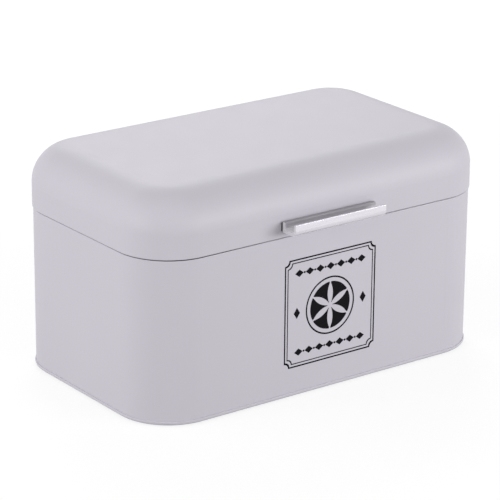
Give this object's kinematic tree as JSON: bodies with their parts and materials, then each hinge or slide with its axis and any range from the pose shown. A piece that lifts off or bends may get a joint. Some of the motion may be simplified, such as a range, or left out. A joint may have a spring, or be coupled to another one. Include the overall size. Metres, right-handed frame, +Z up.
{
  "type": "bread box",
  "caption": "Painted sheet-metal bread box with rounded corners, a round-edged lid hinged at the back and a metal channel handle on the lid.",
  "frame": {"origin": "middle of the whole box's footprint, handle and hinges included, on the surface it stands on", "axes": "+Z up, -Y to the front with the handle, +X to the right as seen from the front"},
  "size_m": [0.3318, 0.2258, 0.1844],
  "materials": {
    "paint": "satin",
    "bright_metal": "polished",
    "plated_steel": "satin",
    "foot_rubber": "matte",
    "pad": "matte"
  },
  "bodies": {
    "body": {"body_shell": "paint", "base_pan": "paint", "foot_front_left": "foot_rubber", "foot_front_right": "foot_rubber", "foot_rear_left": "foot_rubber", "foot_rear_right": "foot_rubber", "hinge_left_body_leaf": "plated_steel", "hinge_right_body_leaf": "plated_steel", "hinge_left_pin": "plated_steel", "hinge_right_pin": "plated_steel", "body_hinge_rivets": "plated_steel", "body_rivet_washers": "plated_steel"},
    "lid": {"lid_shell": "paint", "handle_channel": "bright_metal", "handle_pad": "pad", "handle_nuts": "plated_steel", "handle_washers": "plated_steel", "hinge_left_lid_leaf": "plated_steel", "hinge_right_lid_leaf": "plated_steel", "lid_hinge_rivets": "plated_steel", "lid_rivet_washers": "plated_steel"}
  },
  "joints": [
    {"name": "lid_hinge", "type": "hinge", "parent": "body", "child": "lid", "pos_m": [0, 0.10785, 0.1342], "axis": [-1, 0, 0], "range_deg": [0, 105]}
  ]
}
